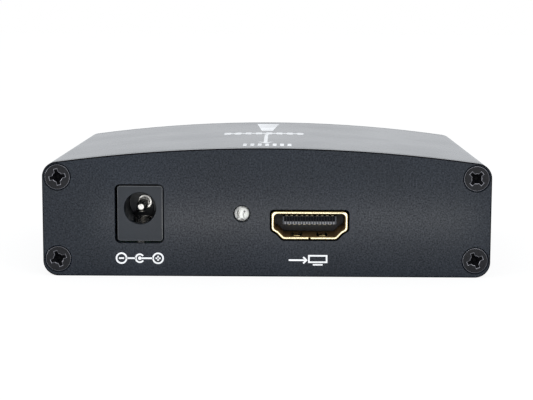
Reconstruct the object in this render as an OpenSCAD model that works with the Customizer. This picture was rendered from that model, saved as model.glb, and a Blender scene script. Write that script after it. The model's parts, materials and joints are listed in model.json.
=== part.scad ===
// Small signal converter in an extruded aluminium case, output end at -Y, input end at +Y.
// The origin is the centre of the case's base, +Z is up, and all lengths are in millimetres.

/* [Case] */
// Overall width of the case
case_w = 88; // [86:0.5:110]
// Height of the case at the crown of its arched top
crown_h = 25.4; // [24.8:0.1:34]
// Depth of the case from panel face to panel face
case_d = 66; // [64:0.5:90]
// Radius of the arched top
top_arc_r = 304; // [260:1:500]
// Corner radius of the case
corner_r = 3; // [2.9:0.1:3.4]
// Wall thickness of the extruded tube
tube_wall = 1.6; // [1.2:0.1:2]
// Thickness of the two end panels
panel_t = 2; // [1.8:0.1:3]

/* [Screws] */
// Radius of the screw heads
head_r = 2.45; // [2.2:0.05:2.5]
// Radius of the screw shanks
shank_r = 1.25; // [1:0.05:1.3]
// Overall length of the screws
screw_l = 8; // [6:0.5:14]
// Rise of the lower screws above the corner centres
screw_low_rise = 0.4; // [0:0.1:0.5]
// Wall left around the screw channels
channel_wall = 1.2; // [0.8:0.1:1.3]

/* [Board] */
// Height of the board's underside above the case's base
board_stand = 5.3; // [4.9:0.1:6.5]
// Thickness of the board
board_t = 1.6; // [1:0.1:2]

/* [Power socket] */
// Centre of the power socket across the case
dc_x = -24.87; // [-27:0.01:-22]
// Width of the power socket
dc_w = 9; // [8.6:0.1:10]
// Height of the power socket
dc_h = 11; // [10.8:0.1:12]
// Depth of the power socket
dc_d = 14.2; // [14:0.1:16]
// Height of the socket's axis above the board
dc_axis_h = 6.5; // [6.3:0.1:6.6]
// Radius of the round mouth
dc_bore_r = 3.15; // [3:0.05:3.3]
// Radius of the centre pin
dc_pin_r = 1; // [0.8:0.05:1.25]

/* [Indicator light] */
// Centre of the light across the case
led_x = -4.83; // [-8:0.01:-3]
// Radius of the light's body
led_r = 1.5; // [1.2:0.05:1.6]
// Height of the light above the board
led_axis_h = 5.6; // [4:0.1:8]

/* [HDMI socket] */
// Centre of the HDMI socket across the case
hdmi_x = 8.45; // [7:0.01:10]
// Width of the opening
hdmi_w = 14; // [13.9:0.05:14.2]
// Height of the opening
hdmi_h = 4.55; // [4.5:0.05:4.7]
// Lift of the opening's floor above the board
hdmi_lift = 1.1; // [1:0.1:1.5]

/* [VGA socket] */
// Distance of the VGA socket's centre from the case's side
vga_side = 22; // [21:0.5:24]
// Lift of the VGA socket's flange above the board
vga_lift = 0.05; // [0.05:0.05:0.35]
// Distance between the two jackscrews
jackscrew_span = 24.99; // [24.9:0.01:25.1]

/* [Audio sockets] */
// Distance of the pair of audio sockets from the case's other side
audio_side = 22.5; // [21:0.5:24]
// Distance between the two audio sockets
audio_span = 14; // [13:0.5:15]
// Radius of the outer sleeves
audio_sleeve_r = 4.15; // [4:0.05:4.2]
// Radius of the centre sockets
audio_bore_r = 1.6; // [1.5:0.05:1.7]
// Height of the audio sockets' axes above the board
audio_axis_h = 6.3; // [6:0.1:7]

/* [Hidden] */
$fn = 48;
arc_fn = 360;
// Overrun of every cut past the face it opens
over = 0.5;
// Slip gap between pieces that slide together, and the gap of a close seat
slip = 0.1;
seat = 0.05;

// Case outline, from the corner circles and the arched top
front_y = -case_d / 2;
rear_y = case_d / 2;
front_inner_y = front_y + panel_t;
rear_inner_y = rear_y - panel_t;
corner_x = case_w / 2 - corner_r;
arc_z = crown_h - top_arc_r;
top_corner_z = arc_z + sqrt(pow(top_arc_r - corner_r, 2) - pow(corner_x, 2));
low_screw_z = corner_r + screw_low_rise;

// Screws, their channels and their sinks
head_drop = 0.12;
head_rim = 0.2;
sink_gap = 0.15;
sink_seat = 0.1;
hole_gap = 0.2;
channel_bore_r = shank_r + seat;
channel_r = channel_bore_r + channel_wall;
sink_r = head_r + sink_gap;
sink_flat = head_drop + head_rim;
screw_hole_r = shank_r + hole_gap;
recess_l = 3.2;
recess_floor_l = 0.5;
recess_w = 0.68;
recess_depth = 1.3;
recess_hub_r = 0.98;
recess_floor_r = 0.15;
point_l = 1;
// Turn of each cross recess about its own axis, in degrees
front_turns = [-21, -12, -22, -47];
rear_turns = [8, -20, 35, 14];

// Board and the grooves it slides in
board_top = board_stand + board_t;
board_w = case_w - 2 * tube_wall - 2 * slip;
board_front_y = front_inner_y + slip;
board_rear_y = rear_inner_y - slip;
groove_rib_w = 1.6;
groove_rib_t = 1.2;

// Power socket
dc_recess = 0.6;
dc_face_y = front_y + dc_recess;
dc_axis_z = board_top + dc_axis_h;
dc_flange_d = 3.4;
dc_bore_d = 10.2;
dc_edge_r = 0.6;
dc_cut_gap = 0.25;
dc_cut_shift = -0.08;
dc_cut_r = 1;
pin_tip_d = 1.9;
pin_tip_l = 0.5;
pin_tip_r_share = 0.55;
pin_root_r = dc_pin_r - hole_gap;
collar_r = 1.45;
collar_t = 0.4;
tail_w = 1.2;
tail_t = 0.3;
tail_below = 1.4;
leaf_w = 2.6;
leaf_t = 0.3;
leaf_gap = 0.35;
slot_front_d = 1.5;
cavity_front_d = 8.2;
cavity_rear_d = 11.7;
cavity_side = 3;
cavity_h = 4.3;
root_d = 10.6;
root_h = 2.7;
knuckle_r = 0.35;
eye_wall = 0.35;
crest_d = 5;
crest_h = 4.2;
tip_d = 2.5;
tip_h = 2.5;
tip_l = 0.7;
leaf_run = root_d - crest_d;
leaf_rise = crest_h - root_h;
leaf_reach = root_d - tip_d;
leaf_drop = tip_h - root_h;
crest_l = 1.2;
shunt_d = 1.6;
shunt_reach = 1.5;

// Indicator light
led_axis_z = board_top + led_axis_h;
led_hole_gap = 0.1;
led_proud = 0.75;
led_body_l = 5.3;
led_rim_r = led_r + 0.35;
led_rim_t = 1;
led_pitch = 2.54;
led_wire = 0.5;
led_post_l = 2.2;
led_cup_r = 0.75;
led_cup_l = 0.9;
led_bend_d = 2.4;

// HDMI socket, its opening's corners as half-widths and heights above the opening's floor
hdmi_floor_z = board_top + hdmi_lift;
hdmi_ceiling_z = hdmi_floor_z + hdmi_h;
hdmi_foot_share = 0.72;
hdmi_knee_share = 0.87;
hdmi_knee_h_share = 0.24;
hdmi_side_h_share = 0.36;
hdmi_metal = 0.3;
hdmi_lip = 0.46;
hdmi_lip_d = 0.5;
hdmi_proud = 0.3;
hdmi_l = 11.4;
hdmi_corner_r = 0.85;
hdmi_cut_gap = 0.27;
hdmi_seam = 0.25;
hdmi_face_y = front_y - hdmi_proud;
hdmi_back_y = hdmi_face_y + hdmi_l;
hdmi_insulator_d = 3.6;
tongue_w = 10.6;
tongue_low_h = 2.35;
tongue_t = 1.6;
tongue_inset = 1.2;
contact_pitch = 1;
contact_w = 0.45;
contact_t = 0.15;
contact_inset = 1.7;
contact_foot = 0.9;
contact_row = 0.8;
finger_x = 2.5;
finger_w = 1.7;
finger_l = 4.2;
finger_slit = 0.3;
finger_start = 1.6;
bump_h = 0.3;
bump_l = 0.9;
bump_w = 1.2;
leg_w = 1.2;

// VGA socket
vga_x = case_w / 2 - vga_side;
vga_shell_w = 16.3;
vga_shell_h = 7.9;
vga_shell_l = 5.9;
vga_metal = 0.4;
vga_slope = 10;
vga_corner_r = 2.1;
vga_ear = 2.9;
vga_flange_w = jackscrew_span + 2 * vga_ear;
vga_flange_h = 12.5;
vga_axis_h = vga_lift + vga_flange_h / 2;
vga_z = board_top + vga_axis_h;
vga_flange_t = 0.8;
vga_flange_r = 1;
vga_cut_gap = 0.3;
vga_face_y = rear_inner_y + vga_shell_l;
vga_flange_y = rear_inner_y - vga_flange_t;
vga_housing_d = 8.6;
vga_back_y = vga_flange_y - vga_housing_d;
vga_rows = 3;
vga_columns = 5;
vga_pitch = 2.29;
vga_row_h = 1.98;
vga_hole_r = 0.5;
vga_contact_r = 0.38;
vga_tail_r = 0.25;
vga_tail_step = 2.2;
jack_hex_w = 4.75;
jack_hex_l = 5;
jack_stud_r = 1.35;
jack_thread_r = 1.2;
jack_thread_d = 4.5;

// Audio sockets
audio_x = audio_side - case_w / 2;
audio_z = board_top + audio_axis_h;
audio_block_side = 2;
audio_block_roof = 2.2;
audio_housing_d = 10.5;
audio_collar_r = 4.9;
audio_collar_proud = 0.8;
audio_hole_gap = 0.25;
audio_sleeve_l = 8.6;
audio_sleeve_wall = 0.45;
audio_root_r = 3.7;
audio_housing_w = audio_span + 2 * (audio_root_r + audio_block_side);
audio_housing_h = audio_axis_h + audio_root_r + audio_block_roof;
audio_face_drop = 0.25;
audio_front_y = rear_y + audio_collar_proud;
audio_tip_y = audio_front_y + audio_sleeve_l;
audio_bore_l = 8;
audio_contact_wall = 0.3;
audio_contact_r = audio_bore_r + hole_gap;
audio_inner_r = audio_sleeve_r - audio_sleeve_wall;
audio_throat_r = audio_root_r - audio_sleeve_wall;
audio_root_y = rear_inner_y - audio_housing_d;
audio_web_y = audio_front_y + audio_sleeve_wall;
audio_bore_y = audio_tip_y - audio_bore_l;

// Parts on the board: a share places a part from the board's centre to its side and its end
board_side = board_w / 2;
board_end = (board_rear_y - board_front_y) / 2;
chip_w = 14;
chip_t = 1.4;
chip_share = [0.05, -0.06];
audio_chip_size = [5, 6.2, 1.1];
audio_chip_share = [-0.5, 0.12];
memory_size = [4, 5, 1.5];
memory_share = [0.5, -0.2];
lead_pitch = 0.8;
wide_pitch = 1.27;
lead_w = 0.3;
lead_t = 0.15;
lead_reach = 1;
lead_foot = 0.5;
part_gap = 1;
chip_clear = 0.1;
dimple_r = 0.5;
dimple_depth = 0.15;
regulator_size = [3.5, 6.5, 1.7];
regulator_shares = [[-0.76, -0.26], [-0.76, 0.06]];
regulator_lead_pitch = 2.3;
regulator_lead_w = 0.7;
regulator_tab_w = 3;
crystal_size = [11, 4.5, 3.2];
crystal_base_t = 1;
capacitor_shares = [[-0.36, -0.3], [-0.55, -0.32], [0.78, 0.2], [0.78, -0.2]];
capacitor_r = 2.5;
capacitor_h = 5.4;
capacitor_base_w = 5.3;
capacitor_base_t = 1;
capacitor_cut = 1.1;
capacitor_groove = 0.2;
inductor_share = [-0.4, 0.38];
inductor_w = 5.8;
inductor_h = 2.8;
inductor_flange_t = 0.6;
inductor_waist = 0.7;
small_size = [1.6, 0.8, 0.8];
small_step = 3;
resistor_size = [1.6, 0.8, 0.45];
resistor_shares = [
    [0.68, -0.45], [0.68, -0.35], [0.6, -0.45], [0.6, -0.35], [-0.28, 0.14], [-0.28, 0.04],
    [0.6, 0.02], [0.66, 0.02], [0.1, 0.42], [0.17, 0.42], [-0.62, 0.34], [-0.62, 0.44]
];
diode_share = [-0.8, -0.52];
diode_size = [4.3, 2.6, 2.2];
diode_tab = 0.8;
array_size = [3, 1.4, 0.9];
array_x = 3.6;

// Outline of the case, drawn in by an inset
module case_outline(inset) {
    r = corner_r - inset;
    reach = arc_z + top_arc_r - top_corner_z + crown_h;
    tangent = [corner_x, top_corner_z - arc_z];
    beyond = tangent * (1 + reach / norm(tangent));
    difference() {
        intersection() {
            translate([-case_w / 2 + inset, inset]) square([case_w - 2 * inset, crown_h]);
            translate([0, arc_z]) circle(r = top_arc_r - inset, $fn = arc_fn);
        }
        for (side = [-1, 1]) {
            translate([side * (corner_x + case_w / 2), 0])
                square([case_w, 2 * corner_r], center = true);
            polygon([
                [side * corner_x, top_corner_z],
                [side * case_w, top_corner_z],
                [side * case_w, arc_z + beyond[1]],
                [side * beyond[0], arc_z + beyond[1]]
            ]);
        }
    }
    for (side = [-1, 1]) {
        translate([side * corner_x, corner_r]) circle(r = r);
        translate([side * corner_x, top_corner_z]) circle(r = r);
    }
}

// Children at the four screw places of the case, in its outline's plane
module at_screws_flat() {
    for (side = [-1, 1], z = [low_screw_z, top_corner_z]) translate([side * corner_x, z]) children();
}

// A flat outline in X and Z, pushed along +Y from y by depth
module along_y(y, depth) {
    translate([0, y + depth, 0]) rotate([90, 0, 0]) linear_extrude(depth) children();
}

// A round bar along Y
module bar_y(x, y, z, r, depth) {
    translate([x, y, z]) rotate([-90, 0, 0]) cylinder(r = r, h = depth);
}

// A box centred in X, from y to y + d and from z to z + h
module block(x, y, z, w, d, h) {
    translate([x - w / 2, y, z]) cube([w, d, h]);
}

// A rectangle with round corners, centred on the origin
module soft_rectangle(w, h, r) {
    square([w - 2 * r, h], center = true);
    square([w, h - 2 * r], center = true);
    for (sx = [-1, 1], sy = [-1, 1]) translate([sx * (w / 2 - r), sy * (h / 2 - r)]) circle(r = r);
}

// Outlines as lists of points: each corner is pushed out by grow and rounded by r
function direction(a, b) = (b - a) / norm(b - a);
function outward(u) = [u[1], -u[0]];
function grown(points, grow) = [
    for (i = [0 : len(points) - 1])
        let (
            a = points[(i + len(points) - 1) % len(points)],
            b = points[i],
            c = points[(i + 1) % len(points)],
            n = outward(direction(a, b)),
            m = outward(direction(b, c))
        )
        b + grow * (n + m) / (1 + n * m)
];
function corner_arc(a, b, c, r, steps) =
    let (
        n = outward(direction(a, b)),
        m = outward(direction(b, c)),
        turn = n[0] * m[1] - n[1] * m[0],
        way = turn < 0 ? -1 : 1,
        centre = b - way * r * (n + m) / (1 + n * m),
        start = atan2(way * n[1], way * n[0]),
        sweep = asin(turn)
    )
    [for (k = [0 : steps]) centre + r * [cos(start + sweep * k / steps), sin(start + sweep * k / steps)]];
function rounded(points, r, steps) = [
    for (i = [0 : len(points) - 1])
        each corner_arc(
            points[(i + len(points) - 1) % len(points)], points[i], points[(i + 1) % len(points)],
            r, steps
        )
];

// Half the HDMI opening's corners, from the floor's centre up the right side
hdmi_half = [
    [hdmi_w / 2 * hdmi_foot_share, 0],
    [hdmi_w / 2 * hdmi_knee_share, hdmi_h * hdmi_knee_h_share],
    [hdmi_w / 2, hdmi_h * hdmi_side_h_share],
    [hdmi_w / 2, hdmi_h]
];
hdmi_points = concat(hdmi_half, [for (i = [len(hdmi_half) - 1 : -1 : 0]) [-hdmi_half[i][0], hdmi_half[i][1]]]);

// HDMI outline around the opening, pushed out by grow
module hdmi_outline(grow) {
    translate([hdmi_x, hdmi_floor_z])
        polygon(rounded(grown(hdmi_points, grow), hdmi_corner_r * hdmi_knee_share, 4));
}

// D-shaped VGA outline, pushed out by grow
vga_top_x = vga_shell_w / 2;
vga_low_x = vga_top_x - vga_shell_h * tan(vga_slope);
module vga_outline(grow) {
    points = [
        [vga_low_x, -vga_shell_h / 2], [vga_top_x, vga_shell_h / 2],
        [-vga_top_x, vga_shell_h / 2], [-vga_low_x, -vga_shell_h / 2]
    ];
    translate([vga_x, vga_z]) polygon(rounded(grown(points, grow), vga_corner_r, 6));
}

// Centre of contact hole k of the VGA socket in row, counted from the top
function vga_spot(row, k) = [
    vga_x + (k - (vga_columns - 1) / 2 + (row % 2 == 1 ? -1 : 1) / 4) * vga_pitch,
    vga_z + ((vga_rows - 1) / 2 - row) * vga_row_h
];
function vga_tail_y(row) = vga_back_y + vga_tail_step * (row + 0.5);
function audio_spot(side) = audio_x + side * audio_span / 2;

module case_tube() {
    color("#2f3136") along_y(front_inner_y, case_d - 2 * panel_t) difference() {
        case_outline(0);
        difference() {
            case_outline(tube_wall);
            intersection() {
                at_screws_flat() circle(r = channel_r);
                union() {
                    translate([-case_w / 2, 0]) square([case_w, board_stand]);
                    translate([-case_w / 2, board_top + board_stand]) square([case_w, crown_h]);
                }
            }
            for (side = [-1, 1]) translate([
                side * (case_w / 2 - tube_wall - groove_rib_w / 2),
                board_top + slip + groove_rib_t / 2
            ]) square([groove_rib_w + 2 * seat, groove_rib_t], center = true);
        }
        at_screws_flat() circle(r = channel_bore_r);
    }
}

// Sunk screw holes of a panel whose outer face is the plane Z = 0 and whose inner face is above it
module sunk_hole() {
    translate([0, 0, -over]) cylinder(r = sink_r, h = over + sink_flat);
    translate([0, 0, -over]) cylinder(r = screw_hole_r, h = panel_t + 2 * over);
    cone_h = head_r - shank_r + sink_seat - hole_gap;
    translate([0, 0, sink_flat]) cylinder(r1 = screw_hole_r + cone_h, r2 = screw_hole_r, h = cone_h);
}

// Children at the screws of the front or the rear panel, with their +Z into the case
module at_front_screws() {
    for (side = [-1, 1], z = [low_screw_z, top_corner_z])
        translate([side * corner_x, front_y, z]) rotate([-90, 0, 0]) children();
}
module at_rear_screws() {
    for (side = [-1, 1], z = [low_screw_z, top_corner_z])
        translate([side * corner_x, rear_y, z]) rotate([90, 0, 0]) children();
}

module front_panel() {
    color("#34363b") difference() {
        along_y(front_y, panel_t) case_outline(0);
        at_front_screws() sunk_hole();
        along_y(front_y - over, panel_t + 2 * over) {
            translate([dc_x + dc_cut_shift, board_top + dc_h / 2])
                soft_rectangle(dc_w + 2 * dc_cut_gap, dc_h + 2 * dc_cut_gap, dc_cut_r);
            hdmi_outline(hdmi_lip + hdmi_cut_gap);
        }
        bar_y(led_x, front_y - over, led_axis_z, led_r + led_hole_gap, panel_t + 2 * over);
    }
}

module rear_panel() {
    color("#34363b") difference() {
        along_y(rear_inner_y, panel_t) case_outline(0);
        at_rear_screws() sunk_hole();
        along_y(rear_inner_y - over, panel_t + 2 * over) vga_outline(vga_cut_gap);
        for (side = [-1, 1]) {
            bar_y(vga_x + side * jackscrew_span / 2, rear_inner_y - over, vga_z,
                jack_stud_r + hole_gap, panel_t + 2 * over);
            bar_y(audio_spot(side), rear_inner_y - over, audio_z,
                audio_collar_r + audio_hole_gap, panel_t + 2 * over);
        }
    }
}

// Countersunk cross-head screw, its head in the plane Z = head_drop and its point up
module panel_screw(turn) {
    cone_h = head_r - shank_r;
    difference() {
        translate([0, 0, head_drop]) rotate_extrude() polygon([
            [0, 0], [head_r, 0], [head_r, head_rim], [shank_r, head_rim + cone_h],
            [shank_r, screw_l - point_l], [0, screw_l]
        ]);
        translate([0, 0, head_drop]) cylinder(r1 = recess_hub_r, r2 = recess_floor_r, h = recess_depth);
        translate([0, 0, -over]) cylinder(r = recess_hub_r, h = over + head_drop);
        for (wing = [0, 90]) rotate([90, 0, turn + wing])
            translate([0, head_drop, -recess_w / 2]) linear_extrude(recess_w) polygon([
                [-recess_l / 2, -over], [recess_l / 2, -over], [recess_l / 2, 0],
                [recess_floor_l / 2, recess_depth], [-recess_floor_l / 2, recess_depth], [-recess_l / 2, 0]
            ]);
    }
}

module front_panel_screws() {
    color("#1d1e20") for (side = [0, 1], high = [0, 1])
        translate([(2 * side - 1) * corner_x, front_y, high ? top_corner_z : low_screw_z])
            rotate([-90, 0, 0]) panel_screw(front_turns[2 * side + high]);
}

module rear_panel_screws() {
    color("#1d1e20") for (side = [0, 1], high = [0, 1])
        translate([(2 * side - 1) * corner_x, rear_y, high ? top_corner_z : low_screw_z])
            rotate([90, 0, 0]) panel_screw(rear_turns[2 * side + high]);
}

// Places of the tails that pass through the board, as [x, y, half-width in X, half-width in Y]
dc_tails = [
    [dc_x, dc_face_y + dc_d - tail_t, tail_w / 2, tail_t / 2],
    [dc_x, dc_face_y + root_d + knuckle_r + eye_wall, tail_w / 2, tail_t / 2],
    [dc_x, dc_face_y + shunt_d + tail_t / 2, tail_w / 2, tail_t / 2]
];
led_tails = [for (side = [-1, 1]) [
    led_x + side * led_pitch / 2, front_y - led_proud + led_body_l + led_bend_d, led_wire / 2, led_wire / 2
]];
hdmi_legs = [for (side = [-1, 1], y = [hdmi_face_y + hdmi_l * 0.45, hdmi_back_y - leg_w]) [
    hdmi_x + side * (hdmi_w / 2 + hdmi_metal / 2), y, hdmi_metal / 2, leg_w / 2
]];
vga_tails = [for (row = [0 : vga_rows - 1], k = [0 : vga_columns - 1]) [
    vga_spot(row, k)[0], vga_tail_y(row), vga_tail_r, vga_tail_r
]];
audio_tails = [for (side = [-1, 1]) [
    audio_spot(side), audio_root_y - tail_t / 2, tail_w / 2, tail_t / 2
]];

module main_board() {
    color("#1f5a3a") difference() {
        translate([-board_w / 2, board_front_y, board_stand])
            cube([board_w, board_rear_y - board_front_y, board_t]);
        for (t = concat(dc_tails, led_tails, hdmi_legs, vga_tails))
            translate([t[0] - t[2] - slip, t[1] - t[3] - slip, board_stand - over])
                cube([2 * (t[2] + slip), 2 * (t[3] + slip), board_t + 2 * over]);
        for (t = audio_tails)
            translate([t[0] - t[2] - slip, t[1] - t[3] - slip, board_stand - over])
                cube([2 * (t[2] + slip), 2 * (t[3] + slip), board_t + 2 * over]);
    }
}

module dc_jack_housing() {
    rear_d = dc_d - dc_flange_d;
    color("#26272a") difference() {
        union() {
            along_y(dc_face_y, dc_flange_d)
                translate([dc_x, board_top + dc_h / 2]) soft_rectangle(dc_w, dc_h, dc_edge_r);
            along_y(dc_face_y + dc_flange_d, rear_d) translate([dc_x, board_top]) {
                translate([0, dc_axis_h]) circle(r = min(dc_w / 2, dc_h - dc_axis_h));
                translate([-dc_w / 2, 0]) square([dc_w, dc_axis_h]);
            }
        }
        bar_y(dc_x, dc_face_y - over, dc_axis_z, dc_bore_r, dc_bore_d + over);
        bar_y(dc_x, dc_face_y, dc_axis_z, pin_root_r + seat, dc_d + over);
        block(dc_x, dc_face_y + slot_front_d, board_top - over,
            leaf_w + 2 * leaf_gap, cavity_rear_d - slot_front_d, over + root_h + dc_bore_r);
        block(dc_x, dc_face_y + cavity_front_d, board_top - over,
            2 * cavity_side, cavity_rear_d - cavity_front_d, over + cavity_h);
        block(dc_x, dc_face_y + dc_d - 2 * tail_t, board_top - over,
            tail_w + 2 * seat, 2 * tail_t + over, over + dc_axis_h);
    }
}

module dc_jack_centre_pin() {
    color("#d9d4c2") {
        translate([dc_x, dc_face_y, dc_axis_z]) rotate([-90, 0, 0]) rotate_extrude() polygon([
            [0, pin_tip_d], [dc_pin_r * pin_tip_r_share, pin_tip_d], [dc_pin_r, pin_tip_d + pin_tip_l],
            [dc_pin_r, dc_bore_d - collar_t], [collar_r, dc_bore_d - collar_t], [collar_r, dc_bore_d],
            [pin_root_r, dc_bore_d], [pin_root_r, dc_d - 2 * tail_t], [0, dc_d - 2 * tail_t]
        ]);
        block(dc_x, dc_face_y + dc_d - 1.5 * tail_t, board_stand - tail_below,
            tail_w, tail_t, board_t + dc_axis_h + tail_below);
    }
}

// The leaf's side view starts at its root, with +X towards the mouth
module dc_jack_leaf_contact() {
    color("#cfcbbd") translate([dc_x + leaf_w / 2, dc_face_y + root_d, board_top + root_h])
        rotate([90, 0, -90]) {
            cylinder(r = knuckle_r, h = leaf_w);
            linear_extrude(leaf_w) polygon([
                [0, -leaf_t / 2], [0, leaf_t / 2], [leaf_run - crest_l, leaf_rise],
                [leaf_run, leaf_rise], [leaf_reach - tip_l, leaf_drop], [leaf_reach, leaf_drop],
                [leaf_reach, leaf_drop - leaf_t], [leaf_reach - tip_l, leaf_drop - leaf_t],
                [leaf_run - leaf_t / 2, leaf_rise - leaf_t], [leaf_run - crest_l, leaf_rise - leaf_t]
            ]);
        }
}

module dc_jack_leaf_terminal() {
    eye_r = knuckle_r + seat + eye_wall;
    eye_z = board_top + root_h;
    color("#cfcbbd") {
        difference() {
            translate([dc_x - leaf_w / 2, dc_face_y + root_d, eye_z]) rotate([0, 90, 0])
                cylinder(r = eye_r, h = leaf_w);
            translate([dc_x - leaf_w / 2 - over, dc_face_y + root_d, eye_z]) rotate([0, 90, 0])
                cylinder(r = knuckle_r + seat, h = leaf_w + 2 * over);
            block(dc_x, dc_face_y + root_d - eye_r - over, eye_z - eye_r - over,
                leaf_w + 2 * over, eye_r + over, 2 * (eye_r + over));
        }
        block(dc_x, dc_face_y + root_d + knuckle_r + eye_wall - tail_t / 2, board_stand - tail_below,
            tail_w, tail_t, board_t + tail_below + root_h - eye_wall);
    }
}

module dc_jack_shunt_contact() {
    finger_z = board_top + tip_h + seat;
    color("#cfcbbd") {
        block(dc_x, dc_face_y + shunt_d, board_stand - tail_below,
            tail_w, tail_t, finger_z + leaf_t - board_stand + tail_below);
        block(dc_x, dc_face_y + shunt_d, finger_z, tail_w, shunt_reach, leaf_t);
    }
}

// The two posts and the cup inside the light's body, pushed out by grow
module led_inner(grow) {
    base_y = front_y - led_proud + led_body_l;
    post_w = led_wire + 2 * grow;
    for (side = [-1, 1])
        block(led_x + side * led_pitch / 4, base_y - led_post_l - grow, led_axis_z - post_w / 2,
            post_w, led_post_l + grow + over * (grow > 0 ? 1 : 0), post_w);
    bar_y(led_x + led_pitch / 4, base_y - led_post_l - led_cup_l - grow, led_axis_z,
        led_cup_r - led_wire / 4 + grow, led_cup_l + 2 * grow);
}

module led_lens() {
    straight = led_body_l - led_r;
    color("#dfe6ea") difference() {
        translate([led_x, front_y - led_proud + led_r, led_axis_z]) rotate([-90, 0, 0]) union() {
            intersection() {
                sphere(r = led_r);
                translate([0, 0, -led_r]) cylinder(r = led_r, h = led_r);
            }
            cylinder(r = led_r, h = straight);
            translate([0, 0, straight - led_rim_t]) cylinder(r = led_rim_r, h = led_rim_t);
        }
        led_inner(seat);
    }
}

module led_lead_frame() {
    base_y = front_y - led_proud + led_body_l;
    color("#c9cbcd") {
        led_inner(0);
        for (side = [-1, 1]) {
            x = led_x + side * led_pitch / 2;
            block(led_x + side * led_pitch * 3 / 8, base_y, led_axis_z - led_wire / 2,
                led_pitch / 4 + led_wire, led_wire, led_wire);
            block(x, base_y, led_axis_z - led_wire / 2, led_wire, led_bend_d + led_wire / 2, led_wire);
            block(x, base_y + led_bend_d - led_wire / 2, board_stand - tail_below, led_wire, led_wire,
                led_axis_z - board_stand + tail_below);
        }
    }
}

module hdmi_shell() {
    finger_back = hdmi_face_y + finger_start;
    color("#d8b968") {
        difference() {
            union() {
                along_y(hdmi_face_y, hdmi_lip_d) hdmi_outline(hdmi_lip);
                along_y(hdmi_face_y + hdmi_lip_d, hdmi_l - hdmi_lip_d) hdmi_outline(hdmi_metal);
            }
            along_y(hdmi_face_y - over, hdmi_l + 2 * over) hdmi_outline(0);
            block(hdmi_x, hdmi_face_y - over, hdmi_floor_z - hdmi_lip - over,
                hdmi_seam, hdmi_lip_d + over, hdmi_lip + 2 * over);
            for (x = [hdmi_x - finger_x, hdmi_x + finger_x], low = [0, 1]) {
                z = low ? hdmi_floor_z - hdmi_metal - over : hdmi_ceiling_z - over;
                for (side = [-1, 1])
                    block(x + side * finger_w / 2, finger_back, z, finger_slit, finger_l,
                        hdmi_metal + 2 * over);
                block(x, finger_back, z, finger_w, finger_slit, hdmi_metal + 2 * over);
            }
        }
        for (x = [hdmi_x - finger_x, hdmi_x + finger_x], low = [0, 1])
            translate([x - bump_w / 2, finger_back + finger_slit, low ? hdmi_floor_z : hdmi_ceiling_z])
                rotate([90, 0, 90]) linear_extrude(bump_w) polygon([
                    [0, 0], [bump_l, 0], [bump_l / 2, low ? bump_h : -bump_h]
                ]);
        for (t = hdmi_legs)
            block(t[0], t[1] - leg_w / 2, board_stand - tail_below, hdmi_metal, leg_w,
                hdmi_ceiling_z - hdmi_h / 2 - board_stand + tail_below);
    }
}

// One HDMI contact, pushed out by grow: upper contacts lie on the tongue, lower ones beneath it
module hdmi_contact(k, grow) {
    upper = k % 2 == 0;
    x = hdmi_x + (k - 9) * contact_pitch / 2;
    z = hdmi_floor_z + tongue_low_h - (upper ? 0 : contact_t) + (upper ? tongue_t : 0);
    turn_y = hdmi_back_y + (upper ? contact_row : 0) + seat;
    w = contact_w + 2 * grow;
    start_y = hdmi_face_y + contact_inset;
    block(x, start_y - grow, z - grow, w, turn_y + contact_t - start_y + 2 * grow, contact_t + 2 * grow);
    block(x, turn_y - grow, board_top, w, contact_t + 2 * grow, z - board_top + contact_t + grow);
    block(x, turn_y, board_top, w, contact_foot * (upper ? 1 : 0.7), contact_t);
}

module hdmi_insulator() {
    tongue_z = hdmi_floor_z + tongue_low_h;
    color("#222326") difference() {
        union() {
            along_y(hdmi_back_y - hdmi_insulator_d, hdmi_insulator_d) hdmi_outline(-seat);
            block(hdmi_x, hdmi_face_y + tongue_inset, tongue_z, tongue_w,
                hdmi_l - tongue_inset - hdmi_insulator_d, tongue_t);
        }
        for (k = [0 : 18]) hdmi_contact(k, seat);
    }
}

module hdmi_contacts() {
    color("#c8a24e") for (k = [0 : 18]) hdmi_contact(k, 0);
}

module vga_shell() {
    color("#c7cacd") difference() {
        union() {
            along_y(vga_flange_y, vga_flange_t) translate([vga_x, vga_z])
                soft_rectangle(vga_flange_w, vga_flange_h, vga_flange_r);
            along_y(vga_flange_y, vga_face_y - vga_flange_y) vga_outline(0);
        }
        along_y(vga_flange_y - over, vga_face_y - vga_flange_y + 2 * over) vga_outline(-vga_metal);
        for (side = [-1, 1]) bar_y(vga_x + side * jackscrew_span / 2, vga_flange_y - over, vga_z,
            jack_stud_r + seat, vga_flange_t + 2 * over);
    }
}

module vga_insulator() {
    color("#2456a6") difference() {
        along_y(vga_flange_y, vga_face_y - vga_flange_y) vga_outline(-vga_metal - seat);
        for (row = [0 : vga_rows - 1], k = [0 : vga_columns - 1])
            bar_y(vga_spot(row, k)[0], vga_flange_y - over, vga_spot(row, k)[1], vga_hole_r,
                vga_face_y - vga_flange_y + 2 * over);
    }
}

module vga_housing() {
    color("#1f2022") difference() {
        union() {
            block(vga_x, vga_back_y, board_top, vga_flange_w - 4 * vga_flange_r, vga_housing_d,
                vga_axis_h + vga_shell_h / 2);
            block(vga_x, vga_flange_y - vga_housing_d / 2, board_top, vga_flange_w, vga_housing_d / 2,
                vga_axis_h + vga_flange_h / 2 - vga_flange_r);
        }
        for (row = [0 : vga_rows - 1], k = [0 : vga_columns - 1]) {
            spot = vga_spot(row, k);
            bar_y(spot[0], vga_tail_y(row) - vga_hole_r, spot[1], vga_hole_r, vga_housing_d);
            translate([spot[0], vga_tail_y(row), board_top - over])
                cylinder(r = vga_hole_r, h = spot[1] - board_top + over);
        }
        for (side = [-1, 1]) bar_y(vga_x + side * jackscrew_span / 2, vga_back_y - over, vga_z,
            jack_stud_r + seat, vga_housing_d + 2 * over);
    }
}

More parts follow.
